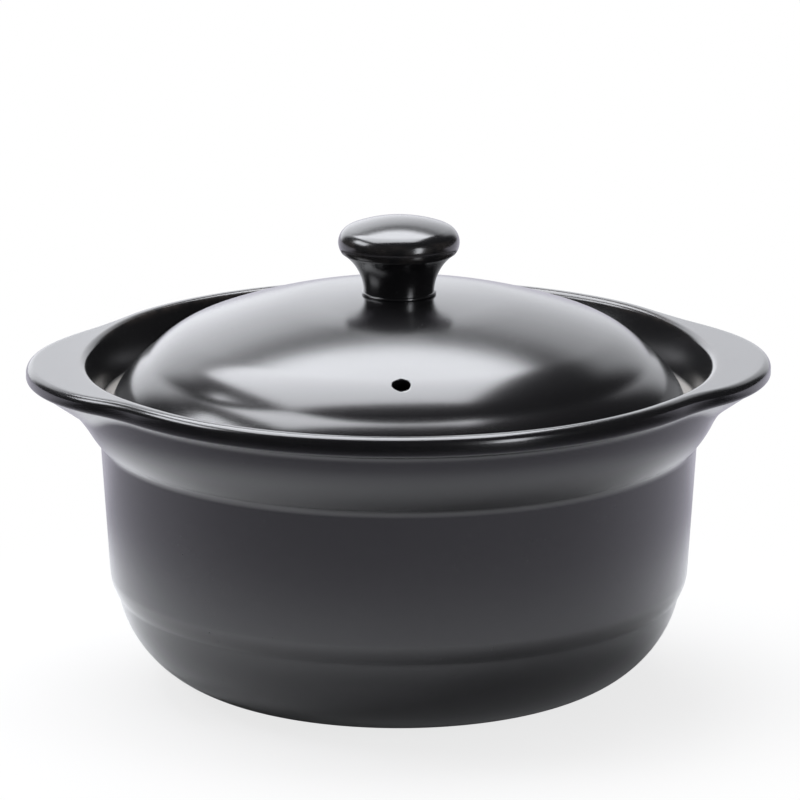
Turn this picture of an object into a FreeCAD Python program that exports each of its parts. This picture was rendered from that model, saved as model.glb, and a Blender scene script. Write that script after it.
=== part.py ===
"""A lidded sand pot: a stoneware stew pot with two lug ears, its domed lid and the lid's knob.

The frame stands on the middle of the pot's foot: +Z up, +X through the ears, -Y towards the lid's
steam vent. All sizes are in millimetres, and all slopes in degrees down from the horizontal.
"""
import FreeCAD, Part
import math
import os

os.makedirs("parts", exist_ok=True)

# Rim of the pot
POT_HEIGHT = 130.0            # foot to the crest of the rim
LIP_OUTER_RADIUS = 128.6      # the rolled lip, away from the ears
LIP_HEIGHT = 7.8              # crest to the underside of the lip
LIP_OUTER_ROUNDING = 3.3      # upper outer edge of lip and ears
LIP_INNER_ROUNDING = 2.9      # edge between the lip and the mouth
LIP_UNDER_ROUNDING = 2.6      # lower outer edge of lip and ears
MOUTH_RADIUS = 122.6          # mouth at the level of the crest, before its rounding

# Lug ears, which are one with the rim
EAR_SPAN = 290.0              # over the tips of both ears
EAR_TIP_RADIUS = 81.0         # outline of an ear seen from above
EAR_BLEND_RADIUS = 115.0      # hollow curve from an ear into the rim
EAR_THICKNESS = 6.2           # at the edge of an ear
EAR_DROP = 1.9                # how far an ear's top lies below the crest
EAR_DROP_START = 95.0         # distance from the middle where the rim starts to dip
EAR_DROP_LENGTH = 36.0        # length of the dip
EAR_ROOT_INSET = 1.6          # the web under an ear starts this far in from the ear's edge
EAR_ROOT_DEPTH = 23.4         # height of the web, from the ear down into the collar
EAR_ROOT_REACH = 25.3         # how far the web draws in over that height
EAR_ROOT_HOLLOW = 2.9         # hollow of the web, against a straight slope
EAR_ROOT_RADIUS = 100.0       # outline of the web at its foot, seen from above
EAR_ROOT_SECTIONS = 5         # round sections that the web runs through

# Collar, wall and base of the pot
COLLAR_DEPTH = 32.3           # crest to the crease under the collar
COLLAR_TOP_RADIUS = 127.0     # where the collar leaves the lip
COLLAR_BULGE = 2.3            # swell of the collar's side
WALL_TOP_RADIUS = 116.3       # wall under the collar
WALL_LOW_RADIUS = 112.9       # wall above its lower shoulder
SHOULDER_HEIGHT = 45.1        # where the wall starts to round under
SHOULDER_BULGE = 0.62         # swell of that rounding
WAIST_RADIUS = 109.8          # crease between the wall and the bowl
WAIST_HEIGHT = 36.7
BOWL_RADIUS = 45.0            # rounding from the waist to the base
BOWL_LIFT = 0.5               # lowest point of the bowl above the table
FOOT_RADIUS = 70.0
FOOT_WIDTH = 9.0
FOOT_RECESS = 2.0             # the base inside the foot ring
FOOT_ROUNDING = 0.4

# Inside of the pot
WALL_THICKNESS = 7.6
FLOOR_THICKNESS = 8.0
INNER_BASE_ROUNDING = 36.0
GALLERY_DEPTH = 20.0          # crest to the ledge that carries the lid
GALLERY_RADIUS = 117.4        # foot of the mouth's wall, at the cove
GALLERY_COVE = 4.0            # rounding between ledge and mouth
GALLERY_EDGE_ROUNDING = 1.2   # inner edge of the ledge

# Lid
LID_CLEARANCE = 0.8           # round the lid, inside the cove
LID_THICKNESS = 5.5
LID_EDGE_SLOPE = 73.6         # outside of the skirt, at the ledge
LID_SHOULDER_RADIUS = 35.9
LID_SHOULDER_SLOPE = 37.7     # least slope, at the outside of the groove
LID_GROOVE_RADIUS = 27.6
LID_GROOVE_SLOPE = 46.0       # greatest slope, at the inside of the groove
LID_SWELL_RADIUS = 43.2
LID_DOME_SLOPE = 21.4         # where the swell meets the dome
LID_EDGE_ROUNDING = 1.1       # both lower edges of the skirt
VENT_DISTANCE = 84.7          # steam vent from the lid's middle
VENT_BEARING = 1.5            # how far the lid is turned in its seat, clockwise from above
VENT_RADIUS = 3.2
VENT_MOUTH = 0.9              # chamfer round the vent's outer end

# Knob
KNOB_HEIGHT = 28.6            # above the crown of the lid
KNOB_TOP_SLOPE = 21.9         # where the top meets the round edge
KNOB_RADIUS = 23.4            # half the knob's width
KNOB_EDGE_RADIUS = 6.4        # rounding of the edge
KNOB_CREASE_SLOPE = 125.8     # where the edge ends in a crease
KNOB_NECK_RADIUS = 13.7
KNOB_UNDERCUT = 56.2          # steepness of the hollow under the crease, from upright

SAME = 1e-4                   # lengths closer than this are the same
UPRIGHT = 0.9                 # a direction that rises by more than this is upright


def point(radius, height):
    """A point of a turned profile."""
    return FreeCAD.Vector(radius, 0, height)


def chain(*pieces):
    """Straight edges between points, with arcs given as (start, middle, end) where they stand."""
    edges = []
    last = None
    for piece in pieces:
        first = piece[0] if isinstance(piece, tuple) else piece
        if last is not None and (first - last).Length > SAME:
            edges.append(Part.LineSegment(last, first).toShape())
        if isinstance(piece, tuple):
            edges.append(Part.Arc(*piece).toShape())
            last = piece[2]
        else:
            last = piece
    return edges


def face_within(*pieces):
    """The flat face inside a closed chain."""
    edges = chain(*pieces, pieces[0][0] if isinstance(pieces[0], tuple) else pieces[0])
    return Part.Face(Part.Wire(Part.sortEdges(edges)[0]))


def turned(*pieces):
    """The solid turned round the vertical axis from a profile."""
    return face_within(*pieces).revolve(FreeCAD.Vector(), FreeCAD.Vector(0, 0, 1), 360)


def bulged(start, end, bulge):
    """An arc that stands off its chord by the bulge, to the right of its direction."""
    along = (end - start).normalize()
    aside = FreeCAD.Vector(along.z, 0, -along.x)
    return (start, (start + end) * 0.5 + aside * bulge, end)


def rounded(before, corner, after, radius):
    """The arc that rounds a corner between two straight edges."""
    to_start = (before - corner).normalize()
    to_end = (after - corner).normalize()
    half_angle = to_start.getAngle(to_end) / 2
    reach = radius / math.tan(half_angle)
    middle = (to_start + to_end).normalize() * (radius / math.sin(half_angle) - radius)
    return (corner + to_start * reach, corner + middle, corner + to_end * reach)


def swept_slope(centre, radius, first, last):
    """An arc round a centre between two slopes of its tangent."""
    def on_arc(slope):
        turn = math.radians(slope)
        return centre + point(math.sin(turn), math.cos(turn)) * radius
    return (on_arc(first), on_arc((first + last) / 2), on_arc(last))


def eased(start_x, start_z, end_x, end_z):
    """Two arcs that lead smoothly from one level to another, or a straight run between equal ones."""
    start, end = point(start_x, start_z), point(end_x, end_z)
    half = (start + end) * 0.5
    run, drop = end_x - start_x, start_z - end_z
    if abs(drop) < SAME:
        return [start, end]
    radius = (run * run + drop * drop) / (4 * drop)
    turn = math.asin(run / (2 * radius))
    offset = point(radius * math.sin(turn / 2), radius * (math.cos(turn / 2) - 1))
    return [(start, start + offset, half), (half, end - offset, end)]


def mirrored(pieces):
    """The same pieces on the other side of the axis, in the reverse order."""
    def flip(place):
        return FreeCAD.Vector(-place.x, place.y, place.z)
    return [tuple(flip(place) for place in reversed(piece)) if isinstance(piece, tuple) else flip(piece)
            for piece in reversed(pieces)]


# ---------------------------------------------------------------------------------------- the pot

def ear_middle():
    """Distance of an ear's own axis from the middle of the pot."""
    return EAR_SPAN / 2 - EAR_TIP_RADIUS


def rim_outline():
    """The rim and both ears from above: arcs of the lip, hollow blends and ear tips."""
    lip, tip, blend = LIP_OUTER_RADIUS, EAR_TIP_RADIUS, EAR_BLEND_RADIUS
    ear_x = ear_middle()
    blend_x = ((lip + blend) ** 2 + ear_x ** 2 - (tip + blend) ** 2) / (2 * ear_x)
    blend_y = math.sqrt((lip + blend) ** 2 - blend_x ** 2)
    blend_centre = FreeCAD.Vector(blend_x, blend_y, 0)
    ear_centre = FreeCAD.Vector(ear_x, 0, 0)
    on_lip = blend_centre * (lip / (lip + blend))
    on_ear = ear_centre + (blend_centre - ear_centre).normalize() * tip
    towards = ((on_lip + on_ear) * 0.5 - blend_centre).normalize()
    on_blend = blend_centre + towards * blend

    def turned_about(place, sign_x, sign_y):
        return FreeCAD.Vector(sign_x * place.x, sign_y * place.y, 0)

    edges = []
    for sign_x in (1, -1):
        tip_point = FreeCAD.Vector(sign_x * (ear_x + tip), 0, 0)
        back, front = turned_about(on_ear, sign_x, 1), turned_about(on_ear, sign_x, -1)
        edges.append(Part.Arc(front, tip_point, back).toShape())
        for sign_y in (1, -1):
            places = [turned_about(place, sign_x, sign_y) for place in (on_ear, on_blend, on_lip)]
            edges.append(Part.Arc(*places).toShape())
    for sign_y in (1, -1):
        right, left = turned_about(on_lip, 1, sign_y), turned_about(on_lip, -1, sign_y)
        edges.append(Part.Arc(right, FreeCAD.Vector(0, sign_y * lip, 0), left).toShape())
    return Part.Wire(Part.sortEdges(edges)[0])


def drooping_band():
    """A broad band as thick as the lip, whose ends dip to the level of the ears."""
    end_x = EAR_DROP_START + EAR_DROP_LENGTH
    past_x = EAR_SPAN / 2 + EAR_TIP_RADIUS
    ear_top = POT_HEIGHT - EAR_DROP
    top = eased(EAR_DROP_START, POT_HEIGHT, end_x, ear_top) + [point(past_x, ear_top)]
    lip_under = POT_HEIGHT - LIP_HEIGHT
    ear_under = ear_top - EAR_THICKNESS
    under = eased(EAR_DROP_START, lip_under, end_x, ear_under) + [point(past_x, ear_under)]
    under_reversed = [tuple(reversed(piece)) if isinstance(piece, tuple) else piece
                      for piece in reversed(under)]
    right_half = top + under_reversed
    band = face_within(*right_half, *mirrored(right_half))
    width = 2 * EAR_SPAN
    band.translate(FreeCAD.Vector(0, -width / 2, 0))
    return band.extrude(FreeCAD.Vector(0, width, 0))


def rim_edges(plate):
    """The upper and the lower edges of the plate's upright outline."""
    upper, lower = [], []
    for face in plate.Faces:
        first_u, last_u, first_v, last_v = face.ParameterRange
        normal = face.normalAt((first_u + last_u) / 2, (first_v + last_v) / 2)
        if abs(normal.z) > SAME:
            continue
        for edge in face.Edges:
            halfway = (edge.FirstParameter + edge.LastParameter) / 2
            if abs(edge.tangentAt(halfway).z) > UPRIGHT:
                continue
            is_upper = edge.valueAt(halfway).z > face.CenterOfMass.z
            (upper if is_upper else lower).append(edge)
    return upper, lower


def rim_plate():
    """The lip and the ears as one rounded plate, still without its mouth."""
    prism = Part.Face(rim_outline()).extrude(FreeCAD.Vector(0, 0, 2 * POT_HEIGHT))
    plate = prism.common(drooping_band())
    plate = plate.makeFillet(LIP_OUTER_ROUNDING, rim_edges(plate)[0])
    return plate.makeFillet(LIP_UNDER_ROUNDING, rim_edges(plate)[1])


def ear_root(side):
    """The web under an ear: round sections that widen as they draw in towards the collar."""
    top = POT_HEIGHT - EAR_DROP - EAR_THICKNESS
    top_radius = EAR_TIP_RADIUS - EAR_ROOT_INSET
    edge = point(ear_middle() + top_radius, top)
    foot = edge - point(EAR_ROOT_REACH, EAR_ROOT_DEPTH)
    sections = []
    for tip in Part.Arc(*bulged(edge, foot, EAR_ROOT_HOLLOW)).toShape().discretize(EAR_ROOT_SECTIONS):
        depth_share = (top - tip.z) / EAR_ROOT_DEPTH
        radius = top_radius + (EAR_ROOT_RADIUS - top_radius) * depth_share
        centre = FreeCAD.Vector(side * (tip.x - radius), 0, tip.z)
        sections.append(Part.Wire(Part.makeCircle(radius, centre)))
    hub = Part.makeCylinder(top_radius, EAR_THICKNESS / 2, FreeCAD.Vector(side * ear_middle(), 0, top))
    return Part.makeLoft(sections, True).fuse(hub)


def pot_outside():
    """The collar, wall, bowl and foot, solid inside, up to the middle of the lip."""
    crease_height = POT_HEIGHT - COLLAR_DEPTH
    bowl_middle = BOWL_LIFT + BOWL_RADIUS
    bowl_axis = WAIST_RADIUS - math.sqrt(BOWL_RADIUS ** 2 - (bowl_middle - WAIST_HEIGHT) ** 2)
    bowl_centre = point(bowl_axis, bowl_middle)
    foot_slope = 180 - math.degrees(math.asin((FOOT_RADIUS - bowl_axis) / BOWL_RADIUS))
    waist_slope = 90 + math.degrees(math.asin((bowl_middle - WAIST_HEIGHT) / BOWL_RADIUS))
    bowl = swept_slope(bowl_centre, BOWL_RADIUS, foot_slope, waist_slope)
    waist = bowl[2]
    shoulder = point(WALL_LOW_RADIUS, SHOULDER_HEIGHT)
    wall_top = point(WALL_TOP_RADIUS, crease_height)
    collar_top = point(COLLAR_TOP_RADIUS, POT_HEIGHT - LIP_HEIGHT)
    inner_foot = FOOT_RADIUS - FOOT_WIDTH
    middle_of_lip = POT_HEIGHT - EAR_DROP - EAR_THICKNESS / 2
    foot_inner_top = point(inner_foot - FOOT_RECESS, FOOT_RECESS)
    foot_inner_low = point(inner_foot, 0)
    foot_outer_low = point(FOOT_RADIUS, 0)
    return turned(
        point(0, FOOT_RECESS),
        foot_inner_top,
        rounded(foot_inner_top, foot_inner_low, foot_outer_low, FOOT_ROUNDING),
        rounded(foot_inner_low, foot_outer_low, bowl[0], FOOT_ROUNDING),
        bowl,
        bulged(waist, shoulder, SHOULDER_BULGE),
        bulged(wall_top, collar_top, COLLAR_BULGE),
        point(COLLAR_TOP_RADIUS, middle_of_lip),
        point(0, middle_of_lip))


def gallery_height():
    """Level of the ledge that carries the lid."""
    return POT_HEIGHT - GALLERY_DEPTH


def wall_inside(height):
    """Inner radius of the plain wall at a height, even with the outside of the wall."""
    crease_height = POT_HEIGHT - COLLAR_DEPTH
    draft = (WALL_TOP_RADIUS - WALL_LOW_RADIUS) / (crease_height - SHOULDER_HEIGHT)
    return WALL_LOW_RADIUS + draft * (height - SHOULDER_HEIGHT) - WALL_THICKNESS


def pot_inside():
    """The hollow of the pot: floor, wall, ledge with its cove, and the flared mouth."""
    floor = FOOT_RECESS + FLOOR_THICKNESS
    ledge = gallery_height()
    floor_middle = point(0, floor)
    floor_corner = point(wall_inside(floor), floor)
    ledge_edge = point(wall_inside(ledge), ledge)
    mouth_draft = (MOUTH_RADIUS - GALLERY_RADIUS) / (GALLERY_DEPTH - GALLERY_COVE)
    ledge_corner = point(GALLERY_RADIUS - mouth_draft * GALLERY_COVE, ledge)
    mouth = point(MOUTH_RADIUS + mouth_draft * LIP_HEIGHT, POT_HEIGHT + LIP_HEIGHT)
    return turned(
        floor_middle,
        rounded(floor_middle, floor_corner, ledge_edge, INNER_BASE_ROUNDING),
        rounded(floor_corner, ledge_edge, ledge_corner, GALLERY_EDGE_ROUNDING),
        rounded(ledge_edge, ledge_corner, mouth, GALLERY_COVE),
        mouth,
        point(0, mouth.z))


def mouth_edges(shape):
    """The edges where the mouth meets the top of the rim."""
    edges = []
    lowest = POT_HEIGHT - EAR_DROP - LIP_INNER_ROUNDING / 2
    for edge in shape.Edges:
        middle = edge.valueAt((edge.FirstParameter + edge.LastParameter) / 2)
        from_axis = math.hypot(middle.x, middle.y)
        if middle.z > lowest and abs(from_axis - MOUTH_RADIUS) < LIP_INNER_ROUNDING:
            edges.append(edge)
    return edges


def pot():
    """The pot with its ears, thrown and pressed in one piece."""
    outside = pot_outside().fuse([rim_plate(), ear_root(1), ear_root(-1)]).removeSplitter()
    hollow = outside.cut(pot_inside())
    return hollow.makeFillet(LIP_INNER_ROUNDING, mouth_edges(hollow))


# ---------------------------------------------------------------------------------------- the lid

def lid_arcs(thickness=0.0):
    """The arcs of the lid's outside from its edge to its crown, or of a skin that far under it.

    Each arc is (centre, radius, first slope, last slope).
    """
    cove_inner = GALLERY_RADIUS - GALLERY_COVE
    edge = point(cove_inner - LID_CLEARANCE, gallery_height())
    steps = [(LID_SHOULDER_RADIUS, LID_EDGE_SLOPE, LID_SHOULDER_SLOPE),
             (-LID_GROOVE_RADIUS, LID_SHOULDER_SLOPE, LID_GROOVE_SLOPE),
             (LID_SWELL_RADIUS, LID_GROOVE_SLOPE, LID_DOME_SLOPE)]
    arcs = []
    place = edge
    for radius, first, last in steps:
        centre = place - heading(first) * radius
        arcs.append((centre, radius - thickness, first, last))
        place = centre + heading(last) * radius
    dome_radius = place.x / math.sin(math.radians(LID_DOME_SLOPE))
    centre = place - heading(LID_DOME_SLOPE) * dome_radius
    arcs.append((centre, dome_radius - thickness, LID_DOME_SLOPE, 0.0))
    return arcs


def heading(slope):
    """The outward direction square to a surface of that slope."""
    turn = math.radians(slope)
    return point(math.sin(turn), math.cos(turn))


def crown_height():
    """The top of the lid's dome."""
    centre, radius, _, _ = lid_arcs()[-1]
    return centre.z + radius


def lid_surface_at(distance):
    """The point of the lid's outside at a distance from the axis, and its slope there."""
    for centre, radius, first, _ in reversed(lid_arcs()):
        outer_end = centre + heading(first) * radius
        if distance < outer_end.x:
            break
    slope = math.degrees(math.asin((distance - centre.x) / radius))
    return centre + heading(slope) * radius, slope


def lid_shell():
    """The turned lid: an even shell with a flat edge."""
    ledge = gallery_height()
    outer = lid_arcs()
    inner = lid_arcs(LID_THICKNESS)
    skirt_centre, skirt_radius, _, inner_end = inner[0]
    skirt_slope = math.degrees(math.acos((ledge - skirt_centre.z) / skirt_radius))
    inner[0] = (skirt_centre, skirt_radius, skirt_slope, inner_end)
    outside = [swept_slope(*arc) for arc in outer]
    inside = [tuple(reversed(swept_slope(*arc))) for arc in reversed(inner)]
    return turned(*outside, *inside)


def edge_circles(shape, height):
    """The full circles of a turned shape at one height."""
    return [edge for edge in shape.Edges
            if not edge.Degenerated
            and edge.BoundBox.ZLength < SAME
            and abs(edge.BoundBox.ZMin - height) < SAME]


def vent_tool():
    """The steam vent, square to the lid, with a chamfered mouth."""
    place, slope = lid_surface_at(VENT_DISTANCE)
    reach = 4 * LID_THICKNESS
    wide = VENT_RADIUS + VENT_MOUTH
    tool = turned(point(0, -reach), point(VENT_RADIUS, -reach), point(VENT_RADIUS, -VENT_MOUTH),
                  point(wide, 0), point(wide + reach, reach), point(0, reach))
    tool.rotate(FreeCAD.Vector(), FreeCAD.Vector(1, 0, 0), slope)
    tool.translate(FreeCAD.Vector(0, -place.x, place.z))
    tool.rotate(FreeCAD.Vector(), FreeCAD.Vector(0, 0, 1), -VENT_BEARING)
    return tool


def lid():
    """The domed lid with its steam vent."""
    shell = lid_shell()
    shell = shell.makeFillet(LID_EDGE_ROUNDING, edge_circles(shell, gallery_height()))
    return shell.cut(vent_tool())


# --------------------------------------------------------------------------------------- the knob

def knob():
    """The turned knob: a domed cap with a round edge, and a hollow neck seated on the dome."""
    top = crown_height() + KNOB_HEIGHT
    edge_axis = KNOB_RADIUS - KNOB_EDGE_RADIUS
    cap_edge = edge_axis + KNOB_EDGE_RADIUS * heading(KNOB_TOP_SLOPE).x
    cap_radius = cap_edge / heading(KNOB_TOP_SLOPE).x
    cap = swept_slope(point(0, top - cap_radius), cap_radius, 0.0, KNOB_TOP_SLOPE)
    edge_centre = cap[2] - heading(KNOB_TOP_SLOPE) * KNOB_EDGE_RADIUS
    edge = swept_slope(edge_centre, KNOB_EDGE_RADIUS, KNOB_TOP_SLOPE, KNOB_CREASE_SLOPE)
    crease = edge[2]
    undercut = math.radians(KNOB_UNDERCUT)
    hollow_radius = (crease.x - KNOB_NECK_RADIUS) / (1 - math.cos(undercut))
    hollow_axis = point(KNOB_NECK_RADIUS + hollow_radius, crease.z - hollow_radius * math.sin(undercut))
    halfway = point(-math.cos(undercut / 2), math.sin(undercut / 2))
    hollow_middle = hollow_axis + halfway * hollow_radius
    hollow = (crease, hollow_middle, hollow_axis - point(hollow_radius, 0))
    base = crown_height() - LID_THICKNESS
    stem = turned(cap, edge, hollow, point(KNOB_NECK_RADIUS, base), point(0, base))
    centre, radius, _, _ = lid_arcs()[-1]
    return stem.cut(Part.makeSphere(radius, centre))


for name, solid in (("pot", pot()), ("lid", lid()), ("knob", knob())):
    solid.exportStep("parts/" + name + ".step")
    print(name, "valid" if solid.isValid() else "invalid", round(solid.Volume / 1000, 1), "cm3")
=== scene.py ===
"""Looks of the lidded sand pot: satin black glaze over stoneware, on a pale floor in soft studio light.

The frame stands on the middle of the pot's foot: +Z up, +X through the ears, -Y to the front.
Shapes are worked out in millimetres and become metres when a mesh is made.
"""
import math

import bpy
import numpy as np
from mathutils import Matrix, Vector


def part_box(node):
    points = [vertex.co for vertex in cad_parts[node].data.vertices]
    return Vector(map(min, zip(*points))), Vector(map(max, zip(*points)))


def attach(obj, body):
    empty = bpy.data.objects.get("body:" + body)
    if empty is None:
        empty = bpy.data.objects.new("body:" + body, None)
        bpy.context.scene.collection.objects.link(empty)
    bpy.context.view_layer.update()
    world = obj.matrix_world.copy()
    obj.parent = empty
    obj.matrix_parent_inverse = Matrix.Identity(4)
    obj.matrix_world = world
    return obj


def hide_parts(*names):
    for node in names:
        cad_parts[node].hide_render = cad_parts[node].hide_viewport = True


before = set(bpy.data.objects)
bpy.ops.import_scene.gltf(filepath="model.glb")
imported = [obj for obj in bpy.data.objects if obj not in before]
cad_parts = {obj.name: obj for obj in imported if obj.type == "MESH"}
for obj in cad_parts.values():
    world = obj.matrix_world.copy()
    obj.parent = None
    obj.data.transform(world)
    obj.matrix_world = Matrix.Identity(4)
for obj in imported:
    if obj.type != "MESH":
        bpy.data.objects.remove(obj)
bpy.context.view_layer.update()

MM = 0.001                    # a millimetre in metres

# ------------------------------------------------------------------ sizes of the pot, in millimetres
POT_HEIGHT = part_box("pot")[1].z / MM
LIP_OUTER_RADIUS = 128.6
LIP_HEIGHT = 7.8
LIP_OUTER_ROUNDING = 3.3
LIP_INNER_ROUNDING = 2.9
LIP_UNDER_ROUNDING = 1.4
MOUTH_RADIUS = 122.6

EAR_SPAN = 2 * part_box("pot")[1].x / MM
EAR_TIP_RADIUS = 77.5
EAR_BLEND_RADIUS = 120.0
EAR_THICKNESS = 6.3
EAR_DROP = 1.7
EAR_DROP_START = 94.0
EAR_DROP_LENGTH = 40.0
EAR_ROOT_INSET = 1.7
EAR_ROOT_REACH = 16.4
EAR_ROOT_DEPTH = 11.6
EAR_FOOT_SLOPE = 1.0          # how far the foot of the slant falls for each millimetre inwards

COLLAR_DEPTH = 32.3
COLLAR_TOP_RADIUS = 127.0
COLLAR_BULGE = 2.3
WALL_TOP_RADIUS = 116.3
WALL_LOW_RADIUS = 112.9
SHOULDER_HEIGHT = 45.1
SHOULDER_BULGE = 0.62
WAIST_RADIUS = 109.8
WAIST_HEIGHT = 36.7
BOWL_RADIUS = 45.0
BOWL_LIFT = 0.5
FOOT_RADIUS = 70.0
FOOT_WIDTH = 9.0
FOOT_RECESS = 2.0
FOOT_ROUNDING = 0.4
BASE_RING_SPACING = 4.2       # shallow turning rings inside the foot ring
BASE_RING_DEPTH = 0.06

WALL_THICKNESS = 7.6
FLOOR_THICKNESS = 8.0
INNER_BASE_ROUNDING = 36.0
GALLERY_DEPTH = 20.0
GALLERY_RADIUS = 117.4
GALLERY_COVE = 4.0
GALLERY_EDGE_ROUNDING = 1.2
FLOOR_RING_SPACING = 6.5      # and on the floor inside
FLOOR_RING_DEPTH = 0.12
CORNER_SOFTNESS = 0.9         # how far the glaze fills the corner under the lip
ROOT_SOFTNESS = 2.2           # and the corner where the ears' slant meets the collar
TURNS = 300                   # sections round the pot

# ------------------------------------------------------------------ sizes of the lid and its knob
LID_CLEARANCE = 0.8
LID_THICKNESS = 5.5
LID_EDGE_SLOPE = 73.6
LID_SHOULDER_RADIUS = 35.9
LID_SHOULDER_SLOPE = 37.7
LID_GROOVE_RADIUS = 27.6
LID_GROOVE_SLOPE = 46.0
LID_SWELL_RADIUS = 43.2
LID_DOME_SLOPE = 21.4
LID_CROWN_SLOPE = 13.0
LID_CROWN_RADIUS = 120.0
LID_SEAT_SLOPE = 6.5
LID_EDGE_ROUNDING = 1.1
VENT_DISTANCE = 84.7
VENT_RADIUS = 3.2
VENT_MOUTH = 0.9
VENT_BEARING = 2.4            # degrees that the lid is turned, so that the vent goes towards -X

KNOB_HEIGHT = 29.9
KNOB_TOP_SLOPE = 21.9
KNOB_RADIUS = 23.6
KNOB_EDGE_RADIUS = 6.4
KNOB_CREASE_SLOPE = 125.8
KNOB_NECK_RADIUS = 13.7
KNOB_UNDERCUT = 56.2
SEAM_RADIUS = 0.75            # the roll of glaze round the knob's foot
SEAM_WAVER = 0.45             # how far that roll wanders up and down
SEAM_SWELL = 0.35             # how much thicker and thinner it gets, as a share
SEAM_LIFT = 0.5               # its middle over the dome,
SEAM_STANDOFF = 0.1           # and outside the neck
SEAM_WAVES = 75.0             # how many waves it has in a metre
HAND_WAVER = 0.5              # how far lid and knob stray from a true turned shape
LID_WAVER_SIZE = 120.0        # and over what length
KNOB_WAVER_SIZE = 30.0

# ------------------------------------------------------------------ glaze and clay
GLAZE_DARK = (0.0045, 0.0045, 0.0050)
GLAZE_PALE = (0.0095, 0.0090, 0.0098)
SPECK_COLOUR = (0.12, 0.11, 0.10)
THIN_GLAZE_COLOUR = (0.055, 0.045, 0.038)
CLAY_DARK = (0.30, 0.28, 0.26)
CLAY_PALE = (0.46, 0.44, 0.41)
SPECK_STRENGTH = 0.04
THIN_STRENGTH = 0.5
SPECK_STEP = (0.74, 0.79)     # levels of a noise between which a speck starts to show,
PATCH_STEP = (0.3, 0.7)       # and a patch of thin glaze
GLAZE_ROUGHNESS = 0.20
CLOUD_ROUGHNESS = 0.07        # how much the roughness varies from cloud to cloud,
GRAIN_ROUGHNESS = 0.06        # from grain to grain
SPECK_ROUGHNESS = 0.06        # and on a speck
CLAY_ROUGHNESS = 0.85
GLAZE_IOR = 1.55
GLAZE_COAT = 0.8

# ------------------------------------------------------------------ patterns, in millimetres
CLOUD_SIZE = 45.0
GRAIN_SIZE = 1.1
PEEL_SIZE = 2.4
RIPPLE_SIZE = 16.0
SPECK_SIZE = 0.9
THIN_PATCH_SIZE = 6.0
CLAY_GRAIN_SIZE = 1.6
PEEL_DEPTH = 0.004
RIPPLE_DEPTH = 0.04
SPECK_DEPTH = 0.004
CLAY_GRAIN_DEPTH = 0.12
GLAZE_THICKNESS = 0.15
WANDER_SIZE = 20.0            # the edges of bare and thin places wander over this length,
BARE_WANDER = 1.2             # the bare ones by this much
THIN_WANDER = 1.0             # and the thin ones by this

# ------------------------------------------------------------------ studio, in metres
FLOOR_REACH = 14.0
FLOOR_COLOUR = (0.86, 0.86, 0.86, 1.0)
SHADOW_KEPT = 0.22            # how much of the pot's shadow the camera sees close to its foot,
SHADOW_FADE = (0.08, 0.26)    # and between which distances that fades
MIRROR_FADE = (0.16, 0.30)    # where the glaze begins to mirror the studio's floor, a painted glow in place of the lit floor
FRONT_LEVEL = 0.40            # how bright that floor's painted glow is: towards the camera, where it is darkest as painted shade,
SIDE_LEVEL = 0.55             # at the pot's sides
BACK_LEVEL = 0.70             # and behind it
FRONT_DEPTH = 0.3             # how far in front or behind it has its level in full
FLOOR_EDGE = (0.42, 0.60)     # where that glow turns to painted dark for the glaze, but for the part behind
WORLD_LEVEL = 0.15
STUDIO_DARK = 0.04            # what shines from the unlit parts of the studio
PANEL_LEFT = 1.6              # the pale panel behind the pot, as the glaze mirrors it
PANEL_RIGHT = 0.85
PANEL_TURN = (-0.3, 0.5)      # directions to the side between which left becomes right
PANEL_TOP = (0.64, 0.50)      # upward directions between which the panel starts to show,
PANEL_BACK = (0.3, 0.6)       # backward ones
PANEL_SIDE = (0.66, 0.48)     # and sideways ones
WHITE = (1.0, 1.0, 1.0)
COOL_LIGHT = (0.94, 0.955, 1.0)
COOL_FLOOR = (0.92, 0.90, 1.03)
LAMP_TARGET = (0, 0, 0.15)    # the foot of the knob

# ------------------------------------------------------------------ camera, in metres and degrees
CAMERA_AZIMUTH = -3.05
CAMERA_ELEVATION = 14.12
CAMERA_DISTANCE = 3.112
CAMERA_LENS = 360.0           # lens and sensor in millimetres
CAMERA_SENSOR = 36.0
CAMERA_CLIP = 60.0
AIM_HEIGHT = 0.11215          # the camera looks at this point of the pot's axis
AIM_ASIDE = 0.00045


# ==================================================================================== profiles

def point(radius, height):
    """A place on a section: distance from the axis and height."""
    return np.array([radius, height], float)


def heading(slope):
    """The outward direction square to a surface of that slope, in degrees down from the level."""
    turn = math.radians(slope)
    return point(math.sin(turn), math.cos(turn))


def straight(start, end, steps):
    """Evenly spaced places from start up to, but without, end."""
    share = np.arange(steps)[:, None] / steps
    return start + (end - start) * share


def swept(centre, radius, first, last, steps):
    """An arc round a centre between two slopes, without its last place."""
    slopes = first + (last - first) * np.arange(steps) / steps
    return np.array([centre + heading(slope) * radius for slope in slopes])


def bulge_circle(start, end, bulge):
    """Centre and radius of the arc that stands off its chord by the bulge."""
    chord = end - start
    length = np.linalg.norm(chord)
    aside = point(chord[1], -chord[0]) / length
    radius = length ** 2 / (8 * bulge) + bulge / 2
    return (start + end) / 2 + aside * (bulge - radius), radius


def bulged(start, end, bulge, steps):
    """An arc from start to end that stands off its chord, without its last place."""
    centre, radius = bulge_circle(start, end, bulge)
    first = math.atan2(*(start - centre))
    last = math.atan2(*(end - centre))
    angles = first + (last - first) * np.arange(steps) / steps
    return centre + abs(radius) * np.stack([np.sin(angles), np.cos(angles)], 1)


def bent(before, corner, after, steps):
    """A soft bend in place of a corner, without its last place."""
    share = (np.arange(steps) / steps)[:, None]
    return before * (1 - share) ** 2 + corner * 2 * share * (1 - share) + after * share ** 2


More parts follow.
